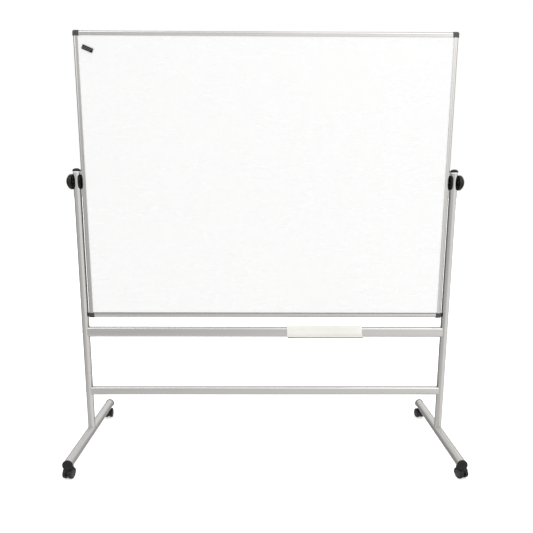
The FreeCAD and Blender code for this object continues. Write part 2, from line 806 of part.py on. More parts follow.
def castor_hood(name):
    """A hood: a web between the wheels, a curved roof over them and a boss round the stem."""
    half = "($wheel_inner + $wheel_width - $hood_side)"
    wide = "4 * $hood_radius"
    drum = cylinder(
        name + "_drum", "$hood_radius", "2 * " + half, "-" + half, "-$castor_trail", "$wheel_radius", "X"
    )
    roof_room = box(
        name + "_roof_room", wide, wide, wide,
        "-2 * $hood_radius", "-$castor_trail - $hood_nose", "$wheel_radius + $hood_brow",
    )
    skirt_room = box(
        name + "_skirt_room", wide, wide, wide,
        "-2 * $hood_radius", "-$castor_trail + $hood_brow", "$hood_skirt",
    )
    boss_tall = "%s - $hood_clear - $wheel_radius" % FOOT_UNDER
    boss = cylinder(name + "_boss", "$boss_radius", boss_tall, "0", "0", "$wheel_radius")
    axle_boss = cylinder(
        name + "_axle_boss", "$axle_boss", "2 * $hood_web",
        "-$hood_web", "-$castor_trail", "$wheel_radius", "X",
    )
    shell = common(name + "_shell", drum, fuse(name + "_rooms", roof_room, skirt_room))
    wheel_rooms = []
    for side, sign in SIDES:
        low = "$hood_web" if sign > 0 else "-$hood_web - $hood_radius"
        wheel_rooms.append(cylinder(
            "%s_wheel_room_%s" % (name, side), "$hood_pocket", "$hood_radius", low,
            "-$castor_trail", "$wheel_radius", "X",
        ))
    axle_room = cylinder(
        name + "_axle_room", "$axle_radius", "2 * " + half,
        "-" + half, "-$castor_trail", "$wheel_radius", "X",
    )
    stem_tall = "$stem_top - $stem_bottom"
    stem_room = cylinder(name + "_stem_room", "$stem_radius", stem_tall, "0", "0", "$stem_bottom")
    return cut(name, fuse(name + "_solid", shell, boss, axle_boss), *wheel_rooms, axle_room, stem_room)


def castor_wheel(name, sign):
    """A wheel with rounded edges and a shallow dish in its outer face."""
    body = new_body(name + "_body")
    section = new_sketch(body, name + "_section", "YZ_Plane")
    circle(section, "$wheel_radius")
    circle(section, "$axle_radius + $running_gap")
    tyre = pad(body, name + "_tyre", section, "$wheel_width")
    rim = DIMENSIONS["wheel_radius"]

    def is_rim(edge):
        if not hasattr(edge.Curve, "Radius") or edge.BoundBox.XLength > 1e-3:
            return False
        return abs(edge.Curve.Radius - rim) < 1e-3

    tyre = round_edges(body, name + "_round", tyre, "$wheel_round", is_rim)
    near = "$wheel_inner" if sign > 0 else "-$wheel_inner - $wheel_width"
    place(body, near, "-$castor_trail", "$wheel_radius")
    dish_x = "%d * ($wheel_inner + $wheel_width)" % sign
    dish_start = "%s - $dish" % dish_x
    dish = cylinder(
        name + "_hollow", "$dish_radius", "2 * $dish", dish_start, "-$castor_trail", "$wheel_radius", "X"
    )
    return cut(name + "_dished", body, dish)


def castor_axle(name):
    """A pin with a flat head at each end, which keeps the wheels on."""
    half = "($wheel_inner + $wheel_width - $fit_gap)"
    head_thick = "($dish - 2 * $fit_gap)"
    shaft = cylinder(
        name + "_shaft", "$axle_radius", "2 * " + half, "-" + half, "-$castor_trail", "$wheel_radius", "X"
    )
    heads = []
    for side, sign in SIDES:
        low = "%s - %s" % (half, head_thick) if sign > 0 else "-" + half
        head = "%s_head_%s" % (name, side)
        heads.append(cylinder(head, "$axle_head", head_thick, low, "-$castor_trail", "$wheel_radius", "X"))
    return fuse(name, shaft, *heads)


for side, sign in SIDES:
    for end, way in ENDS:
        mark = "%s_%s" % (end, side)
        stand_x = "%d * $post_x" % sign
        stand_y = castor_y(way)
        rest = FreeCAD.Rotation(Z_AXIS, CASTOR_REST[(end, side)])
        keep(place(castor_hood("hood_" + mark), stand_x, stand_y, "0", rest), "castor_hood_" + mark)
        keep(place(castor_axle("axle_" + mark), stand_x, stand_y, "0", rest), "castor_axle_" + mark)
        for wheel, wheel_sign in (("a", -1), ("b", 1)):
            name = "wheel_%s_%s" % (wheel, mark)
            keep(place(castor_wheel(name, wheel_sign), stand_x, stand_y, "0", rest), "castor_" + name)
        stem_tall = "$stem_top - $stem_bottom"
        stem = cylinder("stem_" + mark, "$stem_radius", stem_tall, stand_x, stand_y, "$stem_bottom")
        keep(stem, "castor_stem_" + mark)

# --- Check and write ----------------------------------------------------------------------------

doc.recompute()
for thing in doc.Objects:
    if "Invalid" in thing.State or "Error" in thing.State:
        raise RuntimeError("%s did not recompute: %s" % (thing.Name, thing.State))
for node in nodes:
    if node.Shape.isNull() or not node.Shape.isValid() or not node.Shape.Solids:
        raise RuntimeError("%s has no valid solid" % node.Label)

os.makedirs("parts", exist_ok=True)
for node in nodes:
    node.Shape.exportStep("parts/%s.step" % node.Label)
    print("%-28s %10.1f mm3  %d solid(s)" % (node.Label, node.Shape.Volume, len(node.Shape.Solids)))
print(len(nodes), "sub-parts")
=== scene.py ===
import math

import bmesh
import bpy
from mathutils import Matrix, Vector


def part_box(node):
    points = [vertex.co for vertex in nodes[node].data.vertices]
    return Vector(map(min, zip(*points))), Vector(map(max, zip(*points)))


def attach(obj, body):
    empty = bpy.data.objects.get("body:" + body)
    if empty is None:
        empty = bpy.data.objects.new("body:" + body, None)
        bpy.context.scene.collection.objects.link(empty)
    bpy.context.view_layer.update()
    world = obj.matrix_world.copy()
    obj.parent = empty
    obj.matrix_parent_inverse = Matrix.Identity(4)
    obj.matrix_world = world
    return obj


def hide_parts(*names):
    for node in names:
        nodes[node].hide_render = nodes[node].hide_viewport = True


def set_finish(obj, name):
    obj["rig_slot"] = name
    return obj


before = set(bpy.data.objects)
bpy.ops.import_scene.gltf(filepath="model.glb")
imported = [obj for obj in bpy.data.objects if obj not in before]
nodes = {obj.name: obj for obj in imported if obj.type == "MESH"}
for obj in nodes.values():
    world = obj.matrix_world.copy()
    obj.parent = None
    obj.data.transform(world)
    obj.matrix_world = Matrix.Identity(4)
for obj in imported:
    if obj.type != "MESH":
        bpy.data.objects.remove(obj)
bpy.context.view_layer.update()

# Lengths are in metres: X grows to the object's right as the camera sees it, -Y towards the camera, Z up.

SIDES = (("left", -1), ("right", 1))
ENDS = (("front", -1), ("back", 1))

# --- Camera -------------------------------------------------------------------------------------

# A pinhole camera fitted to the photograph's outlines, with its angles in radians.
IMAGE_SIZE = 533
SENSOR = 36.0
FOCAL_PIXELS = 516.93
CAMERA_AT = (-0.01248, -2.1325, 1.16127)
CAMERA_YAW = 0.0076
CAMERA_PITCH = 0.1757
CAMERA_ROLL = -0.0033
LOWERED_PIXELS = 4.06
FARTHEST_SEEN = 100


def add_camera():
    """A camera in front of the board, a little above its middle and tilted down."""
    ahead = Vector((
        math.sin(CAMERA_YAW) * math.cos(CAMERA_PITCH),
        math.cos(CAMERA_YAW) * math.cos(CAMERA_PITCH),
        -math.sin(CAMERA_PITCH),
    ))
    right = Vector((math.cos(CAMERA_YAW), -math.sin(CAMERA_YAW), 0))
    down = ahead.cross(right)
    across = right * math.cos(CAMERA_ROLL) + down * math.sin(CAMERA_ROLL)
    below = down * math.cos(CAMERA_ROLL) - right * math.sin(CAMERA_ROLL)
    data = bpy.data.cameras.new("view")
    data.sensor_width = SENSOR
    data.lens = SENSOR * FOCAL_PIXELS / IMAGE_SIZE
    data.shift_y = LOWERED_PIXELS / IMAGE_SIZE
    data.clip_end = FARTHEST_SEEN
    camera = bpy.data.objects.new("view", data)
    turned = Matrix((across, -below, -ahead)).transposed()
    camera.matrix_world = Matrix.Translation(CAMERA_AT) @ turned.to_4x4()
    bpy.context.scene.collection.objects.link(camera)
    bpy.context.scene.camera = camera


add_camera()

# --- Nodes --------------------------------------------------------------------------------------

# The colour sockets of a Mix node, which share their names with its other sockets.
MIX_FACTOR, MIX_A, MIX_B, MIX_RESULT = 0, 6, 7, 2


def add_node(tree, kind, inputs=None, **settings):
    """A new node. Each input, by name or number, is a value or the output that feeds it."""
    node = tree.nodes.new(kind)
    for key, value in settings.items():
        setattr(node, key, value)
    for key, value in (inputs or {}).items():
        if isinstance(value, bpy.types.NodeSocket):
            tree.links.new(value, node.inputs[key])
        else:
            node.inputs[key].default_value = value
    return node


def opaque(colour):
    """A colour with its alpha; an output is left as it is."""
    return colour if isinstance(colour, bpy.types.NodeSocket) else (*colour, 1)


def mix_colours(tree, factor, a, b):
    inputs = {MIX_FACTOR: factor, MIX_A: opaque(a), MIX_B: opaque(b)}
    return add_node(tree, "ShaderNodeMix", inputs, data_type="RGBA").outputs[MIX_RESULT]


def grey(value):
    return (value,) * 3


# --- Procedural looks ---------------------------------------------------------------------------


class Look:
    """One node material, built up from stretched noises in the piece's own coordinates."""

    def __init__(self, name, **sockets):
        self.material = bpy.data.materials.new(name)
        self.material.use_nodes = True
        self.tree = self.material.node_tree
        self.shader = self.tree.nodes["Principled BSDF"]
        for socket, value in sockets.items():
            self.shader.inputs[socket.replace("_", " ")].default_value = value
        self.place = self.add("ShaderNodeTexCoord").outputs["Object"]

    def add(self, kind, inputs=None, **settings):
        return add_node(self.tree, kind, inputs, **settings)

    def noise(self, scale, stretch=(1, 1, 1), detail=3.0, roughness=0.55):
        moved = self.add("ShaderNodeMapping", {"Vector": self.place, "Scale": stretch})
        sizes = {"Vector": moved.outputs[0], "Scale": scale, "Detail": detail, "Roughness": roughness}
        return self.add("ShaderNodeTexNoise", sizes).outputs["Fac"]

    def span(self, value, low, high, start=0.0, end=1.0):
        """The value brought from the range start to end into the range low to high, and held there."""
        sizes = {"Value": value, "From Min": start, "From Max": end, "To Min": low, "To Max": high}
        return self.add("ShaderNodeMapRange", sizes).outputs["Result"]

    def sum(self, *values):
        total = values[0]
        for value in values[1:]:
            total = self.add("ShaderNodeMath", {0: total, 1: value}, operation="ADD").outputs[0]
        return total

    def times(self, a, b):
        return self.add("ShaderNodeMath", {0: a, 1: b}, operation="MULTIPLY").outputs[0]

    def mix(self, factor, a, b):
        return mix_colours(self.tree, factor, a, b)

    def edges(self, start, end):
        """1 on sharp outer edges, where handling polishes or chips a surface."""
        curve = self.add("ShaderNodeNewGeometry").outputs["Pointiness"]
        return self.span(curve, 0.0, 1.0, start, end)

    def rim(self, start, end):
        """0 where the surface faces the eye, 1 where it turns away. It is used for gloss only."""
        turned_away = self.add("ShaderNodeLayerWeight", {"Blend": 0.5}).outputs["Facing"]
        return self.span(turned_away, 0.0, 1.0, start, end)

    def bump(self, height, strength, distance, before=None):
        sizes = {"Height": height, "Strength": strength, "Distance": distance}
        if before is not None:
            sizes["Normal"] = before
        return self.add("ShaderNodeBump", sizes).outputs["Normal"]

    def finish(self, colour=None, roughness=None, normal=None):
        for socket, value in (("Base Color", colour), ("Roughness", roughness), ("Normal", normal)):
            if value is not None:
                self.tree.links.new(value, self.shader.inputs[socket])
        return self.material


# The two tones that each surface's noise runs between.
TONES = {
    "aluminium": ((0.535, 0.523, 0.508), (0.605, 0.592, 0.577)),
    "enamel": ((0.640, 0.640, 0.638), (0.630, 0.631, 0.633)),
    "sealant": ((0.62, 0.62, 0.61), (0.50, 0.50, 0.48)),
    "ivory": ((0.675, 0.670, 0.632), (0.645, 0.637, 0.592)),
    "zinc": ((0.50, 0.51, 0.53), (0.63, 0.63, 0.60)),
    "cardboard": ((0.36, 0.25, 0.15), (0.47, 0.34, 0.22)),
    "floor": (grey(0.92), grey(0.94)),
}
DUST = (0.20, 0.19, 0.17)
DIE_LINES = 520
DIE_BANDS = 90


def stretch_along(axis, along, across):
    return tuple(along if letter == axis else across for letter in "XYZ")


def aluminium(name, axis, edge, least_rough=0.18):
    """Satin anodised extrusion: die lines along the axis, fine grain and faint handling marks.

    The edge is the grey of the metal's own tint at grazing angles.
    """
    look = Look("satin_aluminium_" + name, Metallic=1.0, Specular_Tint=opaque(grey(edge)))
    lines = look.noise(1.0, stretch_along(axis, 0.8, DIE_LINES), detail=2)
    broad = look.noise(1.0, stretch_along(axis, 0.5, DIE_BANDS), detail=2)
    grain = look.noise(2400, detail=1)
    clouds = look.noise(5.5, detail=4)
    tone = look.sum(look.times(lines, 0.35), look.times(broad, 0.4), look.times(clouds, 0.25))
    colour = look.mix(look.span(tone, 0.0, 1.0, 0.3, 0.7), *TONES["aluminium"])
    rough = look.sum(
        look.span(lines, least_rough, least_rough + 0.06),
        look.span(clouds, -0.03, 0.05),
        look.span(grain, -0.02, 0.02),
    )
    normal = look.bump(grain, 0.05, 0.00002, look.bump(lines, 0.15, 0.00003))
    return look.finish(colour, rough, normal)


def enamel():
    """Glossy enamelled steel with a slight orange peel and faint wiped marks."""
    look = Look("white_enamel", Coat_Weight=0.8, Coat_Roughness=0.12)
    peel = look.noise(420, detail=1)
    wipes = look.noise(1.0, (2.2, 6, 9), detail=5, roughness=0.62)
    ghosts = look.noise(7, (1, 1, 2.2), detail=3)
    haze = look.times(look.span(wipes, 0, 1, 0.40, 0.85), look.span(ghosts, 0.2, 0.8, 0.35, 0.65))
    rough = look.sum(look.span(haze, 0.26, 0.33), look.span(wipes, -0.01, 0.02))
    return look.finish(look.mix(haze, *TONES["enamel"]), rough, look.bump(peel, 0.06, 0.0001))


def plastic(name, dark, light, shine, rough, grain_size, grain_depth, dust):
    """Moulded plastic: spark-eroded grain, lighter scuffed edges and perhaps a little dust."""
    look = Look(name)
    grain = look.noise(grain_size, detail=2)
    scuffs = look.noise(38, (1, 1, 1), detail=6, roughness=0.7)
    worn = look.times(look.edges(0.515, 0.60), look.span(scuffs, 0.2, 1.0, 0.4, 0.62))
    colour = look.mix(look.span(scuffs, 0, 1, 0.35, 0.7), grey(dark), grey(light))
    colour = look.mix(look.times(worn, 0.35), colour, grey(0.03 + 2 * light))
    if dust:
        settled = look.times(look.span(look.noise(90, detail=5), 0, 1, 0.48, 0.72), dust)
        colour = look.mix(settled, colour, DUST)
    roughness = look.sum(look.span(grain, rough - 0.05, rough + 0.05), look.span(scuffs, -0.04, 0.07))
    level = look.span(look.rim(0.25, 0.85), shine, 0.1 * shine)
    look.tree.links.new(level, look.shader.inputs["Specular IOR Level"])
    return look.finish(colour, roughness, look.bump(grain, 0.35, grain_depth))


def sealant():
    """A pale bead of sealant, slightly uneven and grubby."""
    look = Look("sealant", Specular_IOR_Level=0.3)
    smear = look.noise(60, detail=5)
    colour = look.mix(look.span(smear, 0, 1, 0.35, 0.7), *TONES["sealant"])
    return look.finish(colour, look.span(smear, 0.4, 0.6), look.bump(smear, 0.3, 0.0001))


def ivory():
    """Powder coating on a bent sheet: fine orange peel and a little soil."""
    look = Look("ivory_coating", Specular_IOR_Level=0.5)
    peel = look.noise(900, detail=1)
    soil = look.noise(24, (0.6, 1, 1), detail=5, roughness=0.65)
    colour = look.mix(look.span(soil, 0, 1, 0.38, 0.72), *TONES["ivory"])
    rough = look.sum(look.span(peel, 0.38, 0.50), look.span(soil, -0.04, 0.05))
    return look.finish(colour, rough, look.bump(peel, 0.25, 0.00012))


def zinc():
    """Bright zinc plate on steel, mottled and finely grained."""
    look = Look("steel_fittings", Metallic=1.0)
    mottle = look.noise(160, detail=4)
    fine = look.noise(1800, detail=1)
    colour = look.mix(look.span(mottle, 0, 1, 0.35, 0.7), *TONES["zinc"])
    rough = look.sum(look.span(mottle, 0.22, 0.4), look.span(fine, -0.02, 0.03))
    return look.finish(colour, rough, look.bump(fine, 0.2, 0.00003))


def cardboard():
    """The brown paper of a honeycomb core, with its fibres."""
    look = Look("core_board", Specular_IOR_Level=0.2)
    fibre = look.noise(300, (1, 1, 4), detail=5)
    colour = look.mix(look.span(fibre, 0, 1, 0.3, 0.7), *TONES["cardboard"])
    return look.finish(colour, look.span(fibre, 0.75, 0.95), look.bump(fibre, 0.3, 0.0002))


# Each bare extrusion runs along one axis, and so do the die lines of its look.
BARE = {
    "X": aluminium("rail", "X", edge=0.30),
    "Y": aluminium("foot", "Y", edge=0.66, least_rough=0.46),
    "Z": aluminium("post", "Z", edge=0.50),
}
FRAME_LENGTHS = {
    axis: aluminium("frame_" + axis.lower(), axis, edge=0.0, least_rough=0.14) for axis in "XZ"
}
# Dark and light grey, specular level, roughness, grain per metre, depth of the grain, dust.
PLASTIC = {
    name: plastic(name, *numbers)
    for name, numbers in {
        "black_plastic": (0.003, 0.007, 0.28, 0.36, 1300, 0.00005, 0.0),
        "shiny_black_plastic": (0.004, 0.009, 1.0, 0.30, 1500, 0.00003, 0.0),
        "black_gloss": (0.002, 0.004, 0.3, 0.22, 700, 0.00002, 0.0),
        "hub_plastic": (0.008, 0.014, 0.7, 0.32, 900, 0.00004, 0.0),
        "castor_nylon": (0.003, 0.007, 0.30, 0.40, 900, 0.00006, 0.05),
        "magnet_plastic": (0.002, 0.005, 0.35, 0.30, 1500, 0.00003, 0.0),
        # The ridge tops' paler, shinier copy of the magnet's black plastic: a painted highlight.
        "magnet_ridge": (0.060, 0.090, 1.0, 0.30, 1500, 0.00003, 0.0),
        # Dark grey for the tray's bead and the bottom length's strip: painted shade.
        "painted_shade_edging": (0.05, 0.08, 0.4, 0.45, 900, 0.00005, 0.0),
    }.items()
}
IVORY = ivory()
SEALANT = sealant()
LOOKS = {
    "white_enamel": enamel(),
    "black_plastic": PLASTIC["black_plastic"],
    "black_gloss": PLASTIC["black_gloss"],
    "castor_nylon": PLASTIC["castor_nylon"],
    "ivory_coating": IVORY,
    "steel_fittings": zinc(),
    "core_board": cardboard(),
}


def look_of(name, slot):
    """The look of a CAD node, from its material class and its name."""
    if name.startswith("corner_cap"):
        return PLASTIC["shiny_black_plastic"]
    if slot != "satin_aluminium":
        return LOOKS[slot]
    low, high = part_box(name)
    axis = max("XYZ", key=lambda letter: (high - low)["XYZ".index(letter)])
    return (FRAME_LENGTHS if name.startswith("frame") else BARE)[axis]


def dress(piece, look):
    piece.data.materials.clear()
    piece.data.materials.append(look)


for name, node in nodes.items():
    slot = node.data.materials[0].name
    dress(node, look_of(name, slot))
    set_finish(node, slot)

# --- Detail pieces ------------------------------------------------------------------------------

WELD_WITHIN = 0.000002
SHARP_FROM = math.radians(42)


def soften(piece, width):
    """Weld the imported triangles, round the sharp edges slightly and even out the shading."""
    weld = piece.modifiers.new("weld", "WELD")
    weld.merge_threshold = WELD_WITHIN
    bevel = piece.modifiers.new("edges", "BEVEL")
    bevel.width = width
    bevel.segments = 2
    bevel.limit_method = "ANGLE"
    bevel.angle_limit = SHARP_FROM
    bevel.miter_outer = "MITER_ARC"
    shading = piece.modifiers.new("shading", "WEIGHTED_NORMAL")
    shading.keep_sharp = False


def centre_of(name):
    low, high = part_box(name)
    return (low + high) / 2


def facing(direction, at):
    """A placement that turns local Z to the direction and moves the origin to the point."""
    turned = Vector(direction).to_track_quat("Z", "Y").to_matrix().to_4x4()
    return Matrix.Translation(at) @ turned


def to_data(name, mesh):
    for face in mesh.faces:
        face.smooth = True
    data = bpy.data.meshes.new(name)
    mesh.to_mesh(data)
    mesh.free()
    return data


def lathe(name, profile, steps=72, ripple=None, closed=False):
    """A turned mesh: (radius, height) points spun round Z; a closed profile gives a ring."""
    mesh = bmesh.new()
    rings = []
    for radius, height in profile:
        ring = []
        for step in range(steps if radius else 1):
            angle = 2 * math.pi * step / steps
            out = radius * (ripple(angle, radius, height) if ripple else 1)
            ring.append(mesh.verts.new((out * math.cos(angle), out * math.sin(angle), height)))
        rings.append(ring)
    pairs = list(zip(rings, rings[1:]))
    if closed:
        pairs.append((rings[-1], rings[0]))
    for near, far in pairs:
        for step in range(steps):
            after = (step + 1) % steps
            corners = (
                near[step % len(near)], near[after % len(near)], far[after % len(far)], far[step % len(far)],
            )
            mesh.faces.new(tuple(dict.fromkeys(corners)))
    return to_data(name, mesh)


def join_rings(mesh, near, far):
    """The band of faces between two rings of as many vertices."""
    for number in range(len(near)):
        after = (number + 1) % len(near)
        mesh.faces.new((near[number], near[after], far[after], far[number]))


def extrude(name, outline, start, end):
    """A mesh drawn along X from an outline of (y, z) points."""
    mesh = bmesh.new()
    ends = [[mesh.verts.new((x, y, z)) for y, z in outline] for x in (start, end)]
    join_rings(mesh, *ends)
    for ring in ends:
        mesh.faces.new(ring)
    bmesh.ops.recalc_face_normals(mesh, faces=mesh.faces)
    return to_data(name, mesh)


def add_piece(name, data, look, slot, place, body, edge=0.0, instead=None):
    """Puts a finished mesh in place, dresses it and lets it move with its body."""
    piece = bpy.data.objects.new(name, data)
    bpy.context.scene.collection.objects.link(piece)
    piece.matrix_world = place
    dress(piece, look)
    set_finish(piece, slot)
    if instead:
        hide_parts(instead)
    if edge:
        soften(piece, edge)
    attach(piece, body)
    return piece


KNOB_DOME = 0.03875
KNOB_DEEP = 0.0265
KNOB_STEPS = 144
KNOB_FLUTES = 24
FLUTE_DEPTH = 0.018
FLUTED_BEYOND = 0.0302
FLUTED_HEIGHTS = (0.001, 0.0106)


def dome(radius, sunk=0.0):
    """A profile point on the knob's domed face, or sunk below it."""
    return radius, KNOB_DEEP - KNOB_DOME + math.sqrt(KNOB_DOME ** 2 - radius ** 2) - sunk


def flutes(angle, radius, height):
    on_rim = radius > FLUTED_BEYOND and FLUTED_HEIGHTS[0] < height < FLUTED_HEIGHTS[1]
    return 1 - FLUTE_DEPTH * max(0.0, math.cos(KNOB_FLUTES * angle)) if on_rim else 1.0


# Lathe profiles, as (radius, height) points.
KNOB = [
    (0, 0.015), (0.004, 0.015), (0.004, 0), (0.0115, 0), (0.0121, 0.0016), (0.0245, 0.0016), (0.0252, 0),
    (0.0294, 0), (0.0307, 0.0012), (0.031, 0.0028), (0.031, 0.0092), (0.0305, 0.0105), (0.0295, 0.0110),
    (0.0295, 0.0117), dome(0.0302), dome(0.0285), dome(0.026), dome(0.023), dome(0.0195), dome(0.016),
    dome(0.0132), dome(0.0130, sunk=0.0007), dome(0.0123, sunk=0.0007), dome(0.0121), dome(0.0095),
    dome(0.006), dome(0.003), dome(0),
]
HUB_CAP = [
    (0, 0.0181), (0.0056, 0.0181), (0.0056, 0.01685), (0.0143, 0.01685), (0.0143, 0.0179), (0.0137, 0.0186),
    (0.0124, 0.0186), (0.0119, 0.0180), (0.0103, 0.0180), (0.0098, 0.0185), (0.0060, 0.0190),
    (0.0030, 0.0192), (0, 0.0192),
]
FOOT_END = [
    (0, -0.0036), (0.0199, -0.0036), (0.0206, -0.0031), (0.0206, -0.0016), (0.0202, -0.0003),
    (0.0193, 0.0008), (0.0180, 0.0014), (0.0164, 0.0014), (0.0157, 0.0008), (0.0080, 0.0013), (0, 0.0015),
]
POST_CAP = [
    (0, -0.016), (0.0112, -0.016), (0.0120, -0.0150), (0.0120, 0.0001), (0.0160, 0.0001), (0.0164, 0.0006),
    (0.0164, 0.0034), (0.0159, 0.0044), (0.0148, 0.0062), (0.0130, 0.0084), (0.0100, 0.0104),
    (0.0065, 0.0117), (0.0030, 0.0121), (0, 0.0122),
]
# A pale ring under the post's cap: a painted highlight.
POST_PAINTED_HIGHLIGHT_RING = [(0.01502, -0.0050), (0.0156, -0.0047), (0.0156, -0.0003), (0.01502, -0.0001)]


def add_knob(side, sign):
    """A fluted clamping knob: recessed towards the post, a grooved rim and a domed face with a disc in it."""
    node, name = "knob_" + side, "clamping_knob_" + side
    at = (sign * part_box("knob_right")[0].x, centre_of(node).y, centre_of(node).z)
    data = lathe(name, KNOB, steps=KNOB_STEPS, ripple=flutes)
    place = facing((sign, 0, 0), at)
    add_piece(name, data, PLASTIC["black_gloss"], "black_gloss", place, node, edge=0.0003, instead=node)


def add_hub_cap(end, side, letter, hand):
    """A moulded cap with a raised ring, over the end of the axle."""
    wheels = [centre_of("castor_wheel_%s_%s_%s" % (wheel, end, side)) for wheel in "ab"]
    middle = (wheels[0] + wheels[1]) / 2
    outwards = (wheels[1] - wheels[0]).normalized() * hand
    name, body = ("%s_%s_%s_%s" % (kind, letter, end, side) for kind in ("hub_cap", "wheel"))
    place = facing(outwards, middle)
    add_piece(name, lathe(name, HUB_CAP), PLASTIC["hub_plastic"], "castor_nylon", place, body, edge=0.0002)


def add_foot_end(end, side, way):
    """The moulded face of a foot's end cap: a rounded shoulder, a raised rim and a shallow centre."""
    low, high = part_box("foot_cap_%s_%s" % (end, side))
    at = ((low.x + high.x) / 2, low.y if way < 0 else high.y, (low.z + high.z) / 2)
    name = "foot_end_%s_%s" % (end, side)
    look, place = PLASTIC["black_plastic"], facing((0, way, 0), at)
    add_piece(name, lathe(name, FOOT_END), look, "black_plastic", place, "stand", edge=0.0002)


def add_post_end(side):
    """The domed cap on a post, and the pale ring under it: a painted highlight standing in for the bright
    band below the cap.
    """
    low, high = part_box("post_" + side)
    place = Matrix.Translation(((low.x + high.x) / 2, (low.y + high.y) / 2, high.z))
    cap, ring, look = "end_cap_" + side, "painted_highlight_ring_" + side, PLASTIC["black_plastic"]
    add_piece(cap, lathe(cap, POST_CAP), look, "black_plastic", place, "stand",
              edge=0.0003, instead="post_cap_" + side)
    # The pale ring is a painted highlight.
    add_piece(ring, lathe(ring, POST_PAINTED_HIGHLIGHT_RING, closed=True), IVORY, "ivory_coating", place, "stand")


# The bar magnet's plan, the heights of its base and its face, and how it sits on the sheet.
MAGNET_LENGTH, MAGNET_WIDTH = 0.0435, 0.0170
MAGNET_CORNER, CORNER_STEPS = 0.0022, 4
MAGNET_BASE, MAGNET_FACE = 0.0022, 0.0042
MAGNET_TILT = math.radians(22.5)
# Each layer of the magnet, from the sheet outwards, as (inset, height).
MAGNET_LAYERS = (
    (0.0003, 0), (0, 0.0003), (0, MAGNET_BASE), (0.0007, MAGNET_BASE + 0.0002),
    (0.0007, MAGNET_FACE - 0.0005), (0.0012, MAGNET_FACE),
)
RIDGES, RIDGE_PITCH = 4, 0.0086
RIDGE_THICK, RIDGE_PROUD, RIDGE_ROOT, RIDGE_TAPER = 0.0034, 0.0006, 0.0003, 0.0003
RIDGE_SHORTENED = 0.95
# How far up a ridge its faces take the painted highlight, as a share of the ridge's height.
PAINTED_HIGHLIGHT_ABOVE = 0.9
RIDGE_HALF = MAGNET_WIDTH / 2 - 0.0024
RIDGE_LEAN = RIDGE_HALF / math.tan(math.radians(50))


def magnet_ring(mesh, inset, height):
    """The vertices of the magnet's outline, a rectangle with rounded corners, at one height."""
    ring = []
    for quarter, (along, across) in enumerate(((1, 1), (-1, 1), (-1, -1), (1, -1))):
        for step in range(CORNER_STEPS + 1):
            angle = math.pi / 2 * quarter + math.pi / 2 / CORNER_STEPS * step
            ring.append(mesh.verts.new((
                along * (MAGNET_LENGTH / 2 - MAGNET_CORNER) + (MAGNET_CORNER - inset) * math.cos(angle),
                across * (MAGNET_WIDTH / 2 - MAGNET_CORNER) + (MAGNET_CORNER - inset) * math.sin(angle),
                height,
            )))
    return ring


def magnet_ridge(mesh, middle):
    """One slanting grip ridge, its foot sunk in the magnet's face."""
    half = RIDGE_THICK / 2
    foot = [
        (middle - RIDGE_LEAN - half, -RIDGE_HALF), (middle - RIDGE_LEAN + half, -RIDGE_HALF),
        (middle + RIDGE_LEAN + half, RIDGE_HALF), (middle + RIDGE_LEAN - half, RIDGE_HALF),
    ]
    tapers = (RIDGE_TAPER, -RIDGE_TAPER, -RIDGE_TAPER, RIDGE_TAPER)
    low = [mesh.verts.new((x, y, MAGNET_FACE - RIDGE_ROOT)) for x, y in foot]
    top = [
        mesh.verts.new((x + taper, y * RIDGE_SHORTENED, MAGNET_FACE + RIDGE_PROUD))
        for (x, y), taper in zip(foot, tapers)
    ]
    join_rings(mesh, low, top)
    mesh.faces.new(top)
    mesh.faces.new(low[::-1])


def add_magnet():
    """The bar magnet: rounded corners, a stepped edge and slanting grip ridges whose tops carry a painted
    highlight, a paler and shinier copy of its black plastic.
    """
    mesh = bmesh.new()
    rings = [magnet_ring(mesh, inset, height) for inset, height in MAGNET_LAYERS]
    for near, far in zip(rings, rings[1:]):
        join_rings(mesh, near, far)
    mesh.faces.new(rings[0][::-1])
    mesh.faces.new(rings[-1])
    for number in range(RIDGES):
        magnet_ridge(mesh, (number - (RIDGES - 1) / 2) * RIDGE_PITCH)
    low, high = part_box("bar_magnet")
    at = ((low.x + high.x) / 2, high.y, (low.z + high.z) / 2)
    upright = Matrix.Rotation(math.pi / 2, 4, "X")
    place = Matrix.Translation(at) @ Matrix.Rotation(MAGNET_TILT, 4, "Y") @ upright
    magnet = add_piece("grip_magnet", to_data("grip_magnet", mesh), PLASTIC["magnet_plastic"], "black_gloss",
                       place, "board", edge=0.00025, instead="bar_magnet")
    # Faces near the ridge tops take the paler copy: a painted highlight.
    magnet.data.materials.append(PLASTIC["magnet_ridge"])
    for polygon in magnet.data.polygons:
        if polygon.center.z > MAGNET_FACE + PAINTED_HIGHLIGHT_ABOVE * RIDGE_PROUD:
            polygon.material_index = 1


SEAL_RADIUS = 0.0008
SEAL_SUNK = 0.0017


def add_seal(face, y):
    """A thin bead of sealant where a sheet meets the frame's lip."""
    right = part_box("frame_right")[0].x
    low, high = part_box("frame_bottom")[1].z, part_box("frame_top")[0].z
    curve = bpy.data.curves.new("seal_" + face, "CURVE")
    curve.dimensions = "3D"
    curve.bevel_depth = SEAL_RADIUS
    curve.bevel_resolution = 2
    line = curve.splines.new("POLY")
    corners = ((-right, low), (right, low), (right, high), (-right, high))
    line.points.add(len(corners) - 1)
    for point, (x, z) in zip(line.points, corners):
        point.co = (x, y, z, 1)
    line.use_cyclic_u = True
    add_piece("seal_" + face, curve, SEALANT, "white_enamel", Matrix(), "board")


# The sizes of the painted shade strip along the bottom length.
STRIP_BACK = 0.0019
STRIP_DEEP = 0.0014
STRIP_TALL = 0.0030
STRIP_TOP = 0.0016
STRIP_OVERLAP = 0.0002
STRIP_PAST_ENDS = 0.003


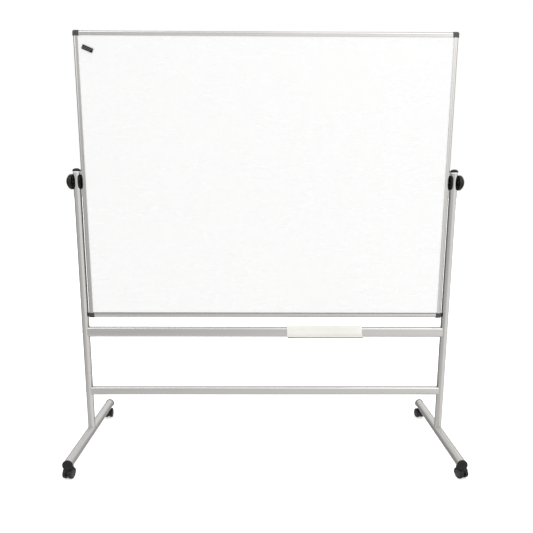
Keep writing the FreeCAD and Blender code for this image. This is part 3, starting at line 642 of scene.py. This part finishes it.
def add_painted_shade_strip():
    """A dark strip with a chamfered front along the bottom length, where the front sheet meets it: painted
    shade standing in for the dark line along the lip's inner edge.
    """
    low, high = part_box("frame_bottom")
    back, foot = low.y + STRIP_BACK, high.z - STRIP_OVERLAP
    front = back - STRIP_DEEP
    outline = [
        (back, foot), (front, foot), (front, high.z + STRIP_TALL * 0.5),
        (low.y + STRIP_TOP, high.z + STRIP_TALL), (back, high.z + STRIP_TALL),
    ]
    data = extrude("painted_shade_strip", outline, low.x - STRIP_PAST_ENDS, high.x + STRIP_PAST_ENDS)
    add_piece("painted_shade_strip", data, PLASTIC["painted_shade_edging"], "black_plastic", Matrix(), "board", edge=0.0002)


HEM_RADIUS = 0.0023
HEM_STEPS = 12
HEM_BACK, HEM_UP, HEM_SHORT = 0.0008, 0.0006, 0.001


def add_tray_painted_shade_hem():
    """A dark grey bead along the tray's front lip: painted shade standing in for the shadowed bottom edge of
    the lip.
    """
    low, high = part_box("pen_tray")
    outline = [
        (low.y + HEM_BACK + HEM_RADIUS * math.cos(turn), low.z + HEM_UP + HEM_RADIUS * math.sin(turn))
        for turn in (2 * math.pi * step / HEM_STEPS for step in range(HEM_STEPS))
    ]
    data = extrude("painted_shade_edging", outline, low.x + HEM_SHORT, high.x - HEM_SHORT)
    add_piece("painted_shade_edging", data, PLASTIC["painted_shade_edging"], "ivory_coating", Matrix(), "tray")


for side, sign in SIDES:
    add_knob(side, sign)
    add_post_end(side)
for end, way in ENDS:
    for side, _ in SIDES:
        add_hub_cap(end, side, "a", -1)
        add_hub_cap(end, side, "b", 1)
        add_foot_end(end, side, way)
add_magnet()
frame_front, frame_back = (corner.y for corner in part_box("frame_left"))
add_seal("front", frame_front + SEAL_SUNK)
add_seal("back", frame_back - SEAL_SUNK)
add_painted_shade_strip()
add_tray_painted_shade_hem()

# --- Studio -------------------------------------------------------------------------------------

FLOOR_HALF = 30.0
FLOOR_GLOW = 0.35


def add_floor():
    """A pale floor that glows a little, so that the object leaves hardly any shadow on it."""
    mesh = bpy.data.meshes.new("studio_floor")
    corners = [(x * FLOOR_HALF, y * FLOOR_HALF, 0) for x, y in ((-1, -1), (1, -1), (1, 1), (-1, 1))]
    mesh.from_pydata(corners, [], [(0, 1, 2, 3)])
    floor = bpy.data.objects.new("studio_floor", mesh)
    bpy.context.scene.collection.objects.link(floor)
    look = Look("studio_floor", Roughness=0.9, Emission_Color=(1, 1, 1, 1), Emission_Strength=FLOOR_GLOW)
    mesh.materials.append(look.finish(look.mix(look.noise(3, detail=3), *TONES["floor"])))
    floor.visible_glossy = False


# The studio round the object, as (azimuth, radiance): azimuth in degrees from the camera's side,
# growing towards the object's right. One ring lies level, the other above it, and below the level
# one everything is evenly lit. The pairs of heights between them are in degrees too.
LEVEL_RING = (
    (-180, 0.25), (-140, 0.22), (-116, 0.26), (-98, 0.66), (-76, 0.66), (-45, 0.66), (-16, 0.70), (2, 0.90),
    (20, 1.10), (54, 1.18), (76, 1.05), (98, 1.45), (112, 0.70), (140, 0.30), (180, 0.25),
)
UPPER_RING = (
    (-180, 1.30), (-145, 1.50), (-120, 0.50), (-76, 0.40), (-58, 1.80), (-43, 3.20), (-32, 2.30), (-22, 0.70),
    (-8, 1.15), (12, 1.55), (36, 2.50), (60, 1.70), (84, 0.80), (112, 0.80), (136, 1.60), (180, 1.30),
)
RINGS_MEET = (-6, 30)
UNDER = 0.98
UNDER_FADE = (-38, -14)
BRIGHTEST = 3.2


def add_world():
    """White behind the object, and a soft studio round it that only lights it and shows in it."""
    world = bpy.data.worlds.new("studio")
    world.use_nodes = True
    bpy.context.scene.world = world
    tree = world.node_tree
    tree.nodes.clear()

    def calculate(operation, a, b):
        return add_node(tree, "ShaderNodeMath", {0: a, 1: b}, operation=operation).outputs[0]

    def background(colour, strength):
        inputs = {"Color": colour, "Strength": strength}
        return add_node(tree, "ShaderNodeBackground", inputs).outputs[0]

    def rise(heights):
        """0 below the lower height and 1 above the upper one."""
        low, high = (math.sin(math.radians(height)) for height in heights)
        inputs = {"Value": ray["Z"], "From Min": low, "From Max": high}
        node = add_node(tree, "ShaderNodeMapRange", inputs, interpolation_type="SMOOTHSTEP")
        return node.outputs["Result"]

    def ring(stops):
        ramp = add_node(tree, "ShaderNodeValToRGB", {0: turn})
        ramp.color_ramp.interpolation = "EASE"
        elements = ramp.color_ramp.elements
        for number, (azimuth, radiance) in enumerate(stops):
            position = azimuth / 360 + 0.5
            if number < 2:
                element = elements[number]
                element.position = position
            else:
                element = elements.new(position)
            element.color = opaque(grey(radiance / BRIGHTEST))
        return ramp.outputs["Color"]

    direction = add_node(tree, "ShaderNodeTexCoord").outputs["Generated"]
    ray = add_node(tree, "ShaderNodeSeparateXYZ", {0: direction}).outputs
    angle = calculate("ARCTAN2", ray["X"], calculate("MULTIPLY", ray["Y"], -1.0))
    turn = calculate("ADD", calculate("DIVIDE", angle, 2 * math.pi), 0.5)
    rings = mix_colours(tree, rise(RINGS_MEET), ring(LEVEL_RING), ring(UPPER_RING))
    whole = mix_colours(tree, rise(UNDER_FADE), grey(UNDER / BRIGHTEST), rings)
    studio = background(whole, BRIGHTEST)
    backdrop = background(opaque(grey(1.0)), 1.0)
    seen = add_node(tree, "ShaderNodeLightPath").outputs["Is Camera Ray"]
    mixed = add_node(tree, "ShaderNodeMixShader", {0: seen, 1: studio, 2: backdrop})
    add_node(tree, "ShaderNodeOutputWorld", {"Surface": mixed.outputs[0]})


add_floor()
add_world()
bpy.context.scene.view_settings.view_transform = "Standard"

# --- Softening the CAD nodes --------------------------------------------------------------------

# The CAD nodes are softened last, so that every piece above is placed by their unchanged boxes.
EDGE_WIDTHS = {
    "black_plastic": 0.0004,
    "black_gloss": 0.0005,
    "satin_aluminium": 0.0003,
    "steel_fittings": 0.0003,
    "ivory_coating": 0.0004,
}
for node in nodes.values():
    if node["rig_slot"] in EDGE_WIDTHS:
        soften(node, EDGE_WIDTHS[node["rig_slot"]])
